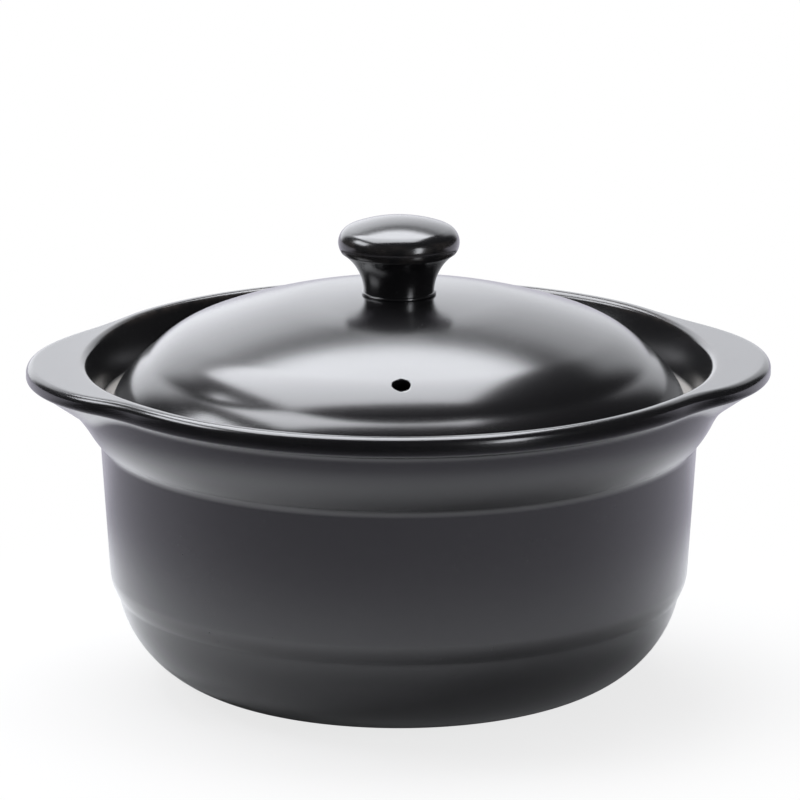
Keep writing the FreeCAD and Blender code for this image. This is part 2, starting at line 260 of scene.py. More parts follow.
def rounded(before, corner, after, radius, steps):
    """The arc that rounds a corner between two straight runs, with both its ends."""
    to_start = (before - corner) / np.linalg.norm(before - corner)
    to_end = (after - corner) / np.linalg.norm(after - corner)
    half_angle = math.acos(float(np.clip(to_start @ to_end, -1, 1))) / 2
    inward = (to_start + to_end) / np.linalg.norm(to_start + to_end)
    centre = corner + inward * radius / math.sin(half_angle)
    start = corner + to_start * radius / math.tan(half_angle)
    end = corner + to_end * radius / math.tan(half_angle)
    spokes = [(start - centre) + (end - start) * share for share in np.linspace(0, 1, steps)]
    return np.array([centre + spoke / np.linalg.norm(spoke) * radius for spoke in spokes])


def ringed(places, spacing, depth):
    """The same run of places with shallow turning rings, spaced along its radius."""
    waves = np.sin(2 * math.pi * places[:, 0] / spacing) * depth
    return places + np.stack([np.zeros(len(places)), waves], 1)


# ==================================================================================== the pot's mesh

CREASE = point(WALL_TOP_RADIUS, POT_HEIGHT - COLLAR_DEPTH)
LIP_UNDERSIDE = POT_HEIGHT - LIP_HEIGHT
EAR_UNDERSIDE = POT_HEIGHT - EAR_DROP - EAR_THICKNESS
EAR_AXIS = EAR_SPAN / 2 - EAR_TIP_RADIUS
LEDGE_HEIGHT = POT_HEIGHT - GALLERY_DEPTH
MOUTH_DRAFT = (MOUTH_RADIUS - GALLERY_RADIUS) / (GALLERY_DEPTH - GALLERY_COVE)
MOUTH_SLANT = math.atan(MOUTH_DRAFT)


def outline_distance(angle, inset):
    """Distance from the pot's axis to the outline of rim and ears, drawn in by the inset."""
    angle = np.abs(np.mod(angle + math.pi / 2, math.pi) - math.pi / 2)
    lip, tip, blend = LIP_OUTER_RADIUS, EAR_TIP_RADIUS, EAR_BLEND_RADIUS
    blend_x = ((lip + blend) ** 2 + EAR_AXIS ** 2 - (tip + blend) ** 2) / (2 * EAR_AXIS)
    blend_y = math.sqrt((lip + blend) ** 2 - blend_x ** 2)
    away = math.hypot(blend_x, blend_y)
    bearing = math.atan2(blend_y, blend_x)
    lean = math.atan2(blend_y, blend_x - EAR_AXIS)
    ear_ends = np.arctan2(math.sin(lean) * (tip - inset),
                          EAR_AXIS + math.cos(lean) * (tip - inset))
    aside = np.minimum((EAR_AXIS * np.sin(angle)) ** 2, (tip - inset) ** 2)
    on_tip = EAR_AXIS * np.cos(angle) + np.sqrt((tip - inset) ** 2 - aside)
    across = (away * np.sin(bearing - angle)) ** 2
    on_blend = away * np.cos(bearing - angle) - np.sqrt(((blend + inset) ** 2 - across).clip(0))
    distance = np.where(angle < ear_ends, on_tip, on_blend)
    return np.where(angle > bearing, lip - inset, distance)


def droop(distance_aside):
    """How far the rim has dipped at a distance from the middle, measured along the ears."""
    share = ((np.abs(distance_aside) - EAR_DROP_START) / EAR_DROP_LENGTH).clip(0, 1)
    return np.where(share < 0.5, 2 * share ** 2, 1 - 2 * (1 - share) ** 2)


def rim_top(distance_aside):
    """Height of the rim's top."""
    return POT_HEIGHT - EAR_DROP * droop(distance_aside)


def rim_underside(distance_aside):
    """Height of the underside of lip and ears."""
    return LIP_UNDERSIDE + (EAR_UNDERSIDE - LIP_UNDERSIDE) * droop(distance_aside)


def collar_distance(height):
    """Outside of the collar at a height."""
    centre, radius = bulge_circle(CREASE, point(COLLAR_TOP_RADIUS, LIP_UNDERSIDE), COLLAR_BULGE)
    return centre[0] + np.sqrt(radius ** 2 - (height - centre[1]) ** 2)


def slant_distance(angle, height):
    """Outside of the slant under the rim and ears at an angle and a height."""
    depth = EAR_UNDERSIDE - height
    on_slant = depth.clip(0, EAR_ROOT_DEPTH) * EAR_ROOT_REACH / EAR_ROOT_DEPTH
    on_foot = (depth - EAR_ROOT_DEPTH).clip(0) / EAR_FOOT_SLOPE
    return outline_distance(angle, EAR_ROOT_INSET + on_slant + on_foot)


def collar_and_slant(angle, height):
    """Outside of the collar and the slant under the ears, with a soft corner between them."""
    collar, slant = collar_distance(height), slant_distance(angle, height)
    nearness = (ROOT_SOFTNESS - np.abs(collar - slant)).clip(0) / ROOT_SOFTNESS
    return np.maximum(collar, slant) + nearness ** 2 * ROOT_SOFTNESS / 4


def spread(places):
    """The same places for every section: distances and heights, one row a place."""
    places = np.asarray(places)
    return [(np.full(TURNS, place[0]), np.full(TURNS, place[1])) for place in places]


def pot_underside():
    """From the middle of the base over the foot ring up to the crease under the collar."""
    inner_foot = FOOT_RADIUS - FOOT_WIDTH
    recess_edge = point(inner_foot - FOOT_RECESS, FOOT_RECESS)
    foot_inner, foot_outer = point(inner_foot, 0), point(FOOT_RADIUS, 0)
    bowl_middle = BOWL_LIFT + BOWL_RADIUS
    bowl_axis = WAIST_RADIUS - math.sqrt(BOWL_RADIUS ** 2 - (bowl_middle - WAIST_HEIGHT) ** 2)
    centre = point(bowl_axis, bowl_middle)
    foot_slope = 180 - math.degrees(math.asin((FOOT_RADIUS - bowl_axis) / BOWL_RADIUS))
    waist_slope = 90 + math.degrees(math.asin((bowl_middle - WAIST_HEIGHT) / BOWL_RADIUS))
    bowl = swept(centre, BOWL_RADIUS, foot_slope, waist_slope, steps=44)
    waist = point(WAIST_RADIUS, WAIST_HEIGHT)
    shoulder = point(WALL_LOW_RADIUS, SHOULDER_HEIGHT)
    rise = bulged(waist, shoulder, SHOULDER_BULGE, steps=12)
    wall = straight(shoulder, CREASE, steps=26)
    base = straight(point(0, FOOT_RECESS), recess_edge, steps=56)
    past_rounding = point(1, 0)
    return np.concatenate([
        ringed(base, BASE_RING_SPACING, BASE_RING_DEPTH),
        rounded(recess_edge, foot_inner, foot_outer, FOOT_ROUNDING, steps=4),
        straight(foot_inner + past_rounding, foot_outer - past_rounding, steps=7),
        rounded(foot_inner, foot_outer, bowl[1], FOOT_ROUNDING, steps=4),
        bowl[1:-1],
        bent(bowl[-1], waist, rise[1], steps=5),
        rise[1:-1],
        bent(rise[-1], shoulder, wall[1], steps=3),
        wall[1:]])


def mixed(first, second, share):
    """A row of places part of the way from one row to another."""
    return tuple(a + (b - a) * share for a, b in zip(first, second))


def collar_rows(angle, underside):
    """Rows from the crease over the collar and the slant, to just short of the lip's corner."""
    rows = []
    for share in np.linspace(0, 1, 26) ** 0.9:    # a little closer together towards the lip
        height = CREASE[1] + (underside - CORNER_SOFTNESS - CREASE[1]) * share
        rows.append((collar_and_slant(angle, height), height))
    return rows


def under_edge(angle, underside, turn):
    """The lip's lower edge, at a turn from 0 at its bottom to a quarter turn at its outside."""
    inset = LIP_UNDER_ROUNDING * (1 - np.sin(turn))
    return outline_distance(angle, inset), underside + LIP_UNDER_ROUNDING * (1 - np.cos(turn))


def underlip_rows(angle, underside, last_row):
    """Rows on from the last one, through the soft corner under the lip and round its lower edge."""
    least_overhang, least_reach, most_bend, past_bottom = 0.4, 0.1, 0.6, 0.1
    corner = (collar_and_slant(angle, underside), underside)
    overhang = (outline_distance(angle, 0) - corner[0]).clip(least_overhang, LIP_UNDER_ROUNDING)
    first = np.arcsin(1 - overhang / LIP_UNDER_ROUNDING) + past_bottom
    edge_start = under_edge(angle, underside, first)
    reach = np.maximum(edge_start[0] - corner[0], least_reach)
    past_corner = mixed(corner, edge_start, np.minimum(CORNER_SOFTNESS / reach, most_bend))
    rows = []
    for share in (0.25, 0.5, 0.75, 1.0):
        to_corner = mixed(last_row, corner, share)
        rows.append(mixed(to_corner, mixed(corner, past_corner, share), share))
    rows.append(mixed(past_corner, edge_start, 0.5))
    for share in np.linspace(0, 1, 9):
        rows.append(under_edge(angle, underside, first + (math.pi / 2 - first) * share))
    return rows


def overlip_rows(angle):
    """Rows round the lip's outer edge, over its top and round the edge of the mouth."""
    rows = []
    for turn in np.linspace(math.pi / 2, 0, 12)[1:]:
        distance = outline_distance(angle, LIP_OUTER_ROUNDING * (1 - math.sin(turn)))
        top = rim_top(distance * np.cos(angle))
        rows.append((distance, top - LIP_OUTER_ROUNDING * (1 - math.cos(turn))))
    bend_height = rim_top(MOUTH_RADIUS * np.cos(angle)) - LIP_INNER_ROUNDING
    bend_axis = (MOUTH_RADIUS - MOUTH_DRAFT * (POT_HEIGHT - bend_height)
                 + LIP_INNER_ROUNDING / math.cos(MOUTH_SLANT))
    outer = outline_distance(angle, LIP_OUTER_ROUNDING)
    for share in np.linspace(0, 1, 10)[1:]:
        distance = outer + (bend_axis - outer) * share
        rows.append((distance, rim_top(distance * np.cos(angle))))
    for turn in np.linspace(0, math.pi / 2 - MOUTH_SLANT, 11)[1:]:
        distance = bend_axis - LIP_INNER_ROUNDING * math.sin(turn)
        top = rim_top(distance * np.cos(angle))
        rows.append((distance, top - LIP_INNER_ROUNDING * (1 - math.cos(turn))))
    return rows


def pot_rim(angle):
    """From the crease over the collar, the lip and the ears to the mouth, section by section."""
    underside = rim_underside(outline_distance(angle, LIP_UNDER_ROUNDING) * np.cos(angle))
    rows = collar_rows(angle, underside)
    return rows + underlip_rows(angle, underside, rows[-1]) + overlip_rows(angle)


def pot_inside():
    """From the mouth down over the ledge and the wall to the middle of the floor."""
    floor = FOOT_RECESS + FLOOR_THICKNESS
    draft = (WALL_TOP_RADIUS - WALL_LOW_RADIUS) / (CREASE[1] - SHOULDER_HEIGHT)

    def wall_inside(height):
        return point(WALL_LOW_RADIUS + draft * (height - SHOULDER_HEIGHT) - WALL_THICKNESS, height)

    mouth = point(MOUTH_RADIUS, POT_HEIGHT)
    ledge_corner = point(GALLERY_RADIUS - MOUTH_DRAFT * GALLERY_COVE, LEDGE_HEIGHT)
    ledge_edge, floor_corner = wall_inside(LEDGE_HEIGHT), wall_inside(floor)
    middle = point(0, floor)
    cove = rounded(mouth, ledge_corner, ledge_edge, GALLERY_COVE, steps=9)
    edge = rounded(ledge_corner, ledge_edge, floor_corner, GALLERY_EDGE_ROUNDING, steps=6)
    base = rounded(ledge_edge, floor_corner, middle, INNER_BASE_ROUNDING, steps=26)
    below_rim = LIP_INNER_ROUNDING + EAR_DROP + 1
    mouth_end = mouth + (ledge_corner - mouth) * below_rim / GALLERY_DEPTH
    return np.concatenate([
        straight(mouth_end, cove[0], steps=6),
        cove,
        edge,
        straight(edge[-1], base[0], steps=16)[1:],
        base,
        ringed(straight(base[-1], middle, steps=24)[1:], FLOOR_RING_SPACING, FLOOR_RING_DEPTH),
        middle[None]])


def ring_mesh(name, distances, heights, angles):
    """A closed mesh of sections round the axis, which start and end on it."""
    places = np.stack([distances * np.cos(angles), distances * np.sin(angles), heights], 2) * MM
    body, first_pole, last_pole = places[1:-1], places[:1, 0], places[-1:, 0]
    rows, turns = body.shape[:2]
    vertices = np.concatenate([body.reshape(-1, 3), first_pole, last_pole])
    start, end, last_row = rows * turns, rows * turns + 1, (rows - 1) * turns
    faces = []
    for low in range(0, last_row, turns):
        high = low + turns
        for turn in range(turns):
            after = (turn + 1) % turns
            faces.append((low + turn, low + after, high + after, high + turn))
    for turn in range(turns):
        after = (turn + 1) % turns
        faces.append((start, after, turn))
        faces.append((end, last_row + turn, last_row + after))
    mesh = bpy.data.meshes.new(name)
    mesh.from_pydata(vertices.tolist(), [], faces)
    mesh.shade_smooth()
    mesh.validate()
    shape = bpy.data.objects.new(name, mesh)
    bpy.context.collection.objects.link(shape)
    return shape


def pot_mesh():
    """The whole pot: underside, rim with its ears, and inside, in sections round the axis."""
    angles = np.arange(TURNS) / TURNS * 2 * math.pi
    places = spread(pot_underside()) + pot_rim(angles) + spread(pot_inside())
    distances = np.array([place[0] for place in places])
    heights = np.array([place[1] for place in places])
    return ring_mesh("pot_glazed", distances, heights, angles)


# ==================================================================================== node trees

class Value:
    """A value on its way through a node tree. Sums on it add Math nodes."""

    def __init__(self, tree, socket):
        self.tree = tree
        self.socket = socket

    def math(self, operation, *others):
        return self.tree.add("ShaderNodeMath", {"operation": operation}, [self, *others])

    def out(self, name):
        return Value(self.tree, self.socket.node.outputs[name])

    def __add__(self, other):
        return self.math("ADD", other)

    def __sub__(self, other):
        return self.math("SUBTRACT", other)

    def __rsub__(self, other):
        return self.tree.add("ShaderNodeMath", {"operation": "SUBTRACT"}, [other, self])

    def __mul__(self, other):
        return self.math("MULTIPLY", other)

    def __truediv__(self, other):
        return self.math("DIVIDE", other)

    def __rtruediv__(self, other):
        return self.tree.add("ShaderNodeMath", {"operation": "DIVIDE"}, [other, self])

    def __mod__(self, other):
        return self.math("MODULO", other)

    __radd__ = __add__
    __rmul__ = __mul__


COLOUR_A, COLOUR_B, COLOUR_RESULT = 6, 7, 2   # the Mix node's colour sockets share their names


class Tree:
    """A node tree that is written down node by node."""

    def __init__(self, tree):
        self.tree = tree
        self.tree.nodes.clear()

    def add(self, kind, settings=None, inputs=None, output=0):
        """Adds a node: first its settings, then the values or links of its inputs."""
        node = self.tree.nodes.new(kind)
        for name, setting in (settings or {}).items():
            setattr(node, name, setting)
        given = inputs.items() if isinstance(inputs, dict) else enumerate(inputs or [])
        for name, value in given:
            if isinstance(value, Value):
                self.tree.links.new(value.socket, node.inputs[name])
            else:
                node.inputs[name].default_value = value
        return Value(self, node.outputs[output]) if len(node.outputs) else node

    def ramp(self, value, low, high, start=0.0, end=1.0):
        """A soft step from start to end, while the value goes from low to high."""
        return self.add("ShaderNodeMapRange", {"interpolation_type": "SMOOTHSTEP"}, {
            "Value": value, "From Min": low, "From Max": high, "To Min": start, "To Max": end})

    def colour(self, share, first, second):
        """A colour that goes from the first to the second as the share goes from 0 to 1."""
        sides = [side if isinstance(side, Value) else (*side, 1.0) for side in (first, second)]
        return self.add("ShaderNodeMix", {"data_type": "RGBA"}, {
            "Factor": share, COLOUR_A: sides[0], COLOUR_B: sides[1]}, output=COLOUR_RESULT)


def geometry_tree(name, sizes):
    """A geometry tree with a mesh going in and out, and a named input for each size."""
    group = bpy.data.node_groups.new(name, "GeometryNodeTree")
    group.interface.new_socket("Geometry", in_out="OUTPUT", socket_type="NodeSocketGeometry")
    group.interface.new_socket("Geometry", in_out="INPUT", socket_type="NodeSocketGeometry")
    for size, kind in sizes.items():
        group.interface.new_socket(size, in_out="INPUT", socket_type=kind)
    return group, Tree(group)


def worked(name, base_mesh, group, **inputs):
    """The plain mesh object that a geometry tree makes from a base mesh and its named inputs."""
    carrier = bpy.data.objects.new(name, base_mesh)
    bpy.context.collection.objects.link(carrier)
    modifier = carrier.modifiers.new("shaping", "NODES")
    modifier.node_group = group
    for item in group.interface.items_tree:
        key = item.name.lower().replace(" ", "_")
        if item.in_out == "INPUT" and key in inputs:
            modifier[item.identifier] = inputs[key]
    graph = bpy.context.evaluated_depsgraph_get()
    mesh = bpy.data.meshes.new_from_object(carrier.evaluated_get(graph), depsgraph=graph)
    carrier.modifiers.remove(modifier)
    carrier.data = mesh
    mesh.name = name
    return carrier


def profile_mesh(name, places):
    """A section as a plain row of vertices in metres."""
    mesh = bpy.data.meshes.new(name)
    vertices = [(place[0] * MM, 0.0, place[1] * MM) for place in places]
    mesh.from_pydata(vertices, [(i, i + 1) for i in range(len(vertices) - 1)], [])
    return mesh


def wheel_group():
    """Turns a section round the vertical axis and leaves it slightly uneven, as by hand."""
    calm_radius = 0.02        # nearer the axis than this the unevenness dies away
    weld_distance = 2e-6
    group, tree = geometry_tree("wheel", {
        "Steps Round": "NodeSocketInt", "Unevenness": "NodeSocketFloat",
        "Unevenness Size": "NodeSocketFloat", "Seed": "NodeSocketFloat",
        "Finish": "NodeSocketMaterial"})
    given = tree.add("NodeGroupInput")
    rows = tree.add("GeometryNodeAttributeDomainSize", {"component": "MESH"}, [given.out("Geometry")])
    steps = given.out("Steps Round")
    grid = tree.add("GeometryNodeMeshGrid", {}, {"Vertices X": steps + 1, "Vertices Y": rows})
    index = tree.add("GeometryNodeInputIndex")
    row = index % rows
    column = (index / rows).math("FLOOR")
    section = tree.add("GeometryNodeSampleIndex", {"data_type": "FLOAT_VECTOR", "domain": "POINT"}, {
        "Geometry": given.out("Geometry"), "Value": tree.add("GeometryNodeInputPosition"),
        "Index": row})
    split = tree.add("ShaderNodeSeparateXYZ", {}, [section])
    turn = column / steps * (2 * math.pi)
    round_x, round_y = turn.math("COSINE"), turn.math("SINE")
    distance, height = split.out("X"), split.out("Z")
    place = tree.add("ShaderNodeCombineXYZ", {}, [distance * round_x, distance * round_y, height])
    noise = tree.add("ShaderNodeTexNoise", {"noise_dimensions": "4D"}, {
        "Vector": place, "W": given.out("Seed"), "Scale": 1 / given.out("Unevenness Size"),
        "Detail": 1.0})
    share = (distance / calm_radius).math("MINIMUM", 1.0)
    sway = (noise.out("Fac") - 0.5) * given.out("Unevenness") * share
    uneven = tree.add("ShaderNodeCombineXYZ", {}, [sway * round_x, sway * round_y, sway])
    moved = tree.add("ShaderNodeVectorMath", {"operation": "ADD"}, [place, uneven])
    shaped = tree.add("GeometryNodeSetPosition", {}, {"Geometry": grid, "Position": moved})
    merged = tree.add("GeometryNodeMergeByDistance", {}, {
        "Geometry": shaped, "Distance": weld_distance})
    smooth = tree.add("GeometryNodeSetShadeSmooth", {}, {"Geometry": merged})
    real = tree.add("GeometryNodeRealizeInstances", {}, {"Geometry": smooth})
    finished = tree.add("GeometryNodeSetMaterial", {}, {
        "Geometry": real, "Material": given.out("Finish")})
    tree.add("NodeGroupOutput", {}, [finished])
    return group


def seam_group():
    """A roll of glaze round a ring, which wanders up and down and swells and thins."""
    ring_steps, roll_steps = 240, 14
    group, tree = geometry_tree("glaze_roll", {
        "Ring Radius": "NodeSocketFloat", "Ring Height": "NodeSocketFloat",
        "Roll Radius": "NodeSocketFloat", "Waver": "NodeSocketFloat", "Swell": "NodeSocketFloat",
        "Waves": "NodeSocketFloat", "Seed": "NodeSocketFloat", "Finish": "NodeSocketMaterial"})
    given = tree.add("NodeGroupInput")
    ring = tree.add("GeometryNodeCurvePrimitiveCircle", {"mode": "RADIUS"}, {
        "Resolution": ring_steps, "Radius": given.out("Ring Radius")})
    place = tree.add("GeometryNodeInputPosition")
    noise = tree.add("ShaderNodeTexNoise", {"noise_dimensions": "4D"}, {
        "Vector": place, "W": given.out("Seed"), "Scale": given.out("Waves"), "Detail": 1.5})
    swing = (noise.out("Fac") - 0.5) * 2.0
    lift = swing * given.out("Waver") + given.out("Ring Height")
    raised = tree.add("ShaderNodeCombineXYZ", {}, {"Z": lift})
    moved = tree.add("GeometryNodeSetPosition", {}, {"Geometry": ring, "Offset": raised})
    round_profile = tree.add("GeometryNodeCurvePrimitiveCircle", {"mode": "RADIUS"}, {
        "Resolution": roll_steps, "Radius": given.out("Roll Radius")})
    roll = tree.add("GeometryNodeCurveToMesh", {}, {
        "Curve": moved, "Profile Curve": round_profile, "Scale": swing * given.out("Swell") + 1.0})
    smooth = tree.add("GeometryNodeSetShadeSmooth", {}, {"Geometry": roll})
    real = tree.add("GeometryNodeRealizeInstances", {}, {"Geometry": smooth})
    finished = tree.add("GeometryNodeSetMaterial", {}, {
        "Geometry": real, "Material": given.out("Finish")})
    tree.add("NodeGroupOutput", {}, [finished])
    return group


# ==================================================================================== lid and knob

OUTSIDE_STEPS = (22, 8, 12, 24, 14, 20)       # how finely each arc of the lid is drawn
INSIDE_STEPS = (16, 6, 8, 18, 10, 14)


def lid_arcs(thickness=0.0):
    """Arcs of the lid's outside from edge to crown, or of a skin that far under it.

    Each arc is (centre, radius, first slope, last slope). A step without a radius is centred on
    the axis.
    """
    edge = point(GALLERY_RADIUS - GALLERY_COVE - LID_CLEARANCE, LEDGE_HEIGHT)
    steps = [(LID_SHOULDER_RADIUS, LID_EDGE_SLOPE, LID_SHOULDER_SLOPE),
             (-LID_GROOVE_RADIUS, LID_SHOULDER_SLOPE, LID_GROOVE_SLOPE),
             (LID_SWELL_RADIUS, LID_GROOVE_SLOPE, LID_DOME_SLOPE),
             (None, LID_DOME_SLOPE, LID_CROWN_SLOPE),
             (LID_CROWN_RADIUS, LID_CROWN_SLOPE, LID_SEAT_SLOPE),
             (None, LID_SEAT_SLOPE, 0.0)]
    arcs, place = [], edge
    for radius, first, last in steps:
        if radius is None:
            radius = place[0] / heading(first)[0]
        centre = place - heading(first) * radius
        arcs.append((centre, radius - thickness, first, last))
        place = centre + heading(last) * radius
    return arcs


CROWN_CENTRE, CROWN_RADIUS = lid_arcs()[-1][:2]
CROWN_HEIGHT = CROWN_CENTRE[1] + CROWN_RADIUS


def lid_surface_at(distance):
    """The place on the lid's outside at a distance from the axis, and its slope there."""
    for centre, radius, first, _ in reversed(lid_arcs()):
        if distance < (centre + heading(first) * radius)[0]:
            break
    slope = math.degrees(math.asin((distance - centre[0]) / radius))
    return centre + heading(slope) * radius, slope


def lid_profile():
    """The lid's section: the outside from edge to crown, the inside back, and the flat seat."""
    inner = lid_arcs(LID_THICKNESS)
    skirt_centre, skirt_radius, _, skirt_end = inner[0]
    skirt_slope = math.degrees(math.acos((LEDGE_HEIGHT - skirt_centre[1]) / skirt_radius))
    inner[0] = (skirt_centre, skirt_radius, skirt_slope, skirt_end)
    outer_run = np.concatenate([swept(*arc, steps) for arc, steps in zip(lid_arcs(), OUTSIDE_STEPS)])
    inner_run = np.concatenate([swept(*arc, steps) for arc, steps in zip(inner, INSIDE_STEPS)])
    crown, inner_crown = point(0, CROWN_HEIGHT), point(0, CROWN_HEIGHT - LID_THICKNESS)
    inner_corner, outer_corner = inner_run[0], outer_run[0]
    inner_round = rounded(inner_run[2], inner_corner, outer_corner, LID_EDGE_ROUNDING, steps=6)
    outer_round = rounded(inner_corner, outer_corner, outer_run[2], LID_EDGE_ROUNDING, steps=6)
    return np.concatenate([
        outer_round[3:], outer_run[2:], crown[None], inner_crown[None], inner_run[:1:-1],
        inner_round, outer_round[:4]])


def vent_profile():
    """The section of the tool that pierces the lid: a drill with a soft, flared mouth."""
    tip, mouth_softness, clear_of_dome = -4 * LID_THICKNESS, 0.4, 0.15
    flare = VENT_RADIUS + VENT_MOUTH
    throat = point(VENT_RADIUS, -VENT_MOUTH - mouth_softness)
    lip = point(flare, clear_of_dome)
    run = [point(0, tip), point(VENT_RADIUS, tip), throat]
    run += list(bent(throat, point(VENT_RADIUS, 0), lip, steps=7)[1:])
    run += [lip, point(flare + mouth_softness, LID_THICKNESS), point(0, LID_THICKNESS)]
    return run


def knob_profile():
    """The knob's section: domed cap, round edge, hollow neck, and a base inside the lid."""
    top = CROWN_HEIGHT + KNOB_HEIGHT
    edge_axis = KNOB_RADIUS - KNOB_EDGE_RADIUS
    cap_edge = edge_axis + KNOB_EDGE_RADIUS * heading(KNOB_TOP_SLOPE)[0]
    cap_radius = cap_edge / heading(KNOB_TOP_SLOPE)[0]
    cap_centre = point(0, top - cap_radius)
    cap_end = cap_centre + heading(KNOB_TOP_SLOPE) * cap_radius
    edge_centre = cap_end - heading(KNOB_TOP_SLOPE) * KNOB_EDGE_RADIUS
    crease = edge_centre + heading(KNOB_CREASE_SLOPE) * KNOB_EDGE_RADIUS
    undercut = math.radians(KNOB_UNDERCUT)
    hollow_radius = (crease[0] - KNOB_NECK_RADIUS) / (1 - math.cos(undercut))
    hollow_axis = point(KNOB_NECK_RADIUS + hollow_radius,
                        crease[1] - hollow_radius * math.sin(undercut))
    hollow = [hollow_axis + point(-math.cos(turn), math.sin(turn)) * hollow_radius
              for turn in np.linspace(undercut, 0, 30)]
    foot = point(KNOB_NECK_RADIUS, CROWN_HEIGHT - LID_THICKNESS / 2)
    return np.concatenate([
        swept(cap_centre, cap_radius, 0.0, KNOB_TOP_SLOPE, steps=24),
        swept(edge_centre, KNOB_EDGE_RADIUS, KNOB_TOP_SLOPE, KNOB_CREASE_SLOPE, steps=30),
        np.array(hollow),
        straight(hollow[-1], foot, steps=5)[1:],
        np.array([foot, point(0, foot[1])])])


def pierce(piece, tool, place):
    """Cuts the tool, set in its place, out of a piece, and throws the tool away."""
    tool.data.transform(place)
    cutter = piece.modifiers.new("pierced", "BOOLEAN")
    cutter.operation = "DIFFERENCE"
    cutter.solver = "EXACT"
    cutter.object = tool
    graph = bpy.context.evaluated_depsgraph_get()
    mesh = bpy.data.meshes.new_from_object(piece.evaluated_get(graph), depsgraph=graph)
    piece.modifiers.remove(cutter)
    piece.data = mesh
    bpy.data.objects.remove(tool)


# ==================================================================================== finishes

def glaze(name, thin_mask, bare_mask=None):
    """Satin black glaze with fine variation; masks say where it is thin and where it is missing.

    Each mask is a function of the tree, the distance from the axis and the height, in metres.
    """
    finish = bpy.data.materials.new(name)
    finish.use_nodes = True
    tree = Tree(finish.node_tree)
    place = tree.add("ShaderNodeTexCoord", output="Object")
    axes = tree.add("ShaderNodeSeparateXYZ", {}, [place])
    x, y, height = axes.out("X"), axes.out("Y"), axes.out("Z")
    distance = (x * x + y * y).math("SQRT")

    def noise(size, detail=2.0):
        return tree.add("ShaderNodeTexNoise", {}, {
            "Vector": place, "Scale": 1 / (size * MM), "Detail": detail})

    cloud = noise(CLOUD_SIZE, 3.0)
    grain = noise(GRAIN_SIZE)
    peel = noise(PEEL_SIZE, 1.0)
    ripple = noise(RIPPLE_SIZE, 1.0)
    specks = tree.ramp(noise(SPECK_SIZE, 0.0), *SPECK_STEP)
    wander = noise(WANDER_SIZE, 1.0) - 0.5
    patches = tree.ramp(noise(THIN_PATCH_SIZE), *PATCH_STEP)
    thin = thin_mask(tree, distance + wander * (THIN_WANDER * MM), height) * patches
    bare = 0.0
    if bare_mask:
        bare = bare_mask(tree, distance + wander * (BARE_WANDER * MM), height)

    black = tree.colour(cloud, GLAZE_DARK, GLAZE_PALE)
    freckled = tree.colour(specks * SPECK_STRENGTH, black, SPECK_COLOUR)
    worn = tree.colour(thin * THIN_STRENGTH, freckled, THIN_GLAZE_COLOUR)
    clay = tree.colour(noise(CLAY_GRAIN_SIZE, 4.0), CLAY_DARK, CLAY_PALE)
    base = tree.colour(bare, worn, clay)

    roughness = ((cloud - 0.5) * CLOUD_ROUGHNESS + (grain - 0.5) * GRAIN_ROUGHNESS
                 + specks * SPECK_ROUGHNESS + GLAZE_ROUGHNESS
                 + bare * (CLAY_ROUGHNESS - GLAZE_ROUGHNESS))
    level = (peel * PEEL_DEPTH + ripple * RIPPLE_DEPTH - specks * SPECK_DEPTH
             + bare * (grain * CLAY_GRAIN_DEPTH - GLAZE_THICKNESS))
    bump = tree.add("ShaderNodeBump", {}, {"Strength": 1.0, "Distance": MM, "Height": level})
    surface = tree.add("ShaderNodeBsdfPrincipled", {}, {
        "Base Color": base, "Roughness": roughness, "Normal": bump, "IOR": GLAZE_IOR,
        "Coat Weight": (1 - bare) * GLAZE_COAT, "Coat Roughness": GLAZE_ROUGHNESS,
        "Coat IOR": GLAZE_IOR})
    tree.add("ShaderNodeOutputMaterial", {}, {"Surface": surface})
    return finish


def between(tree, value, clear, full):
    """A mask of 0 up to one place and 1 from another, both in millimetres."""
    return tree.ramp(value, clear * MM, full * MM)


def low_down(tree, height):
    """A mask of the pot's lowest millimetres, which leaves out the floor inside."""
    return between(tree, height, 8.0, 6.0)


def pot_bare(tree, distance, height):
    """Bare clay on the foot ring and inside it, and on the ledge that is wiped for the lid."""
    wall_inside = WALL_TOP_RADIUS - WALL_THICKNESS
    foot = between(tree, distance, FOOT_RADIUS + 2.2, FOOT_RADIUS + 1.6) * low_down(tree, height)
    ledge = (between(tree, distance, GALLERY_RADIUS - 0.2, GALLERY_RADIUS - 1.6)
             * between(tree, distance, wall_inside - 1.7, wall_inside - 0.2)
             * between(tree, height, LEDGE_HEIGHT + 2.8, LEDGE_HEIGHT + 1.2)
             * between(tree, height, LEDGE_HEIGHT - 2.0, LEDGE_HEIGHT - 1.0))
    return foot + ledge


def pot_thin(tree, distance, height):
    """The glaze runs thin along the lip's edges and just above the bare foot."""
    lip = (between(tree, height, POT_HEIGHT - 3.5, POT_HEIGHT - 1.0)
           * between(tree, distance, MOUTH_RADIUS + 3.6, MOUTH_RADIUS + 1.2))
    foot = between(tree, distance, FOOT_RADIUS + 4.2, FOOT_RADIUS + 2.4) * low_down(tree, height)
    return lip + foot


def lid_bare(tree, distance, height):
    """The flat seat of the lid is wiped clean."""
    return (between(tree, height, LEDGE_HEIGHT + 0.6, LEDGE_HEIGHT + 0.3)
            * between(tree, distance, 100.0, 101.0))


def lid_thin(tree, distance, height):
    """The glaze runs thin at the lid's edge."""
    return between(tree, height, LEDGE_HEIGHT + 3.5, LEDGE_HEIGHT + 1.0)


def knob_thin(tree, distance, height):
    """The glaze runs thin on the turn of the knob's edge."""
    return between(tree, distance, KNOB_RADIUS - 1.4, KNOB_RADIUS - 0.6) * 0.6


# ==================================================================================== the pieces

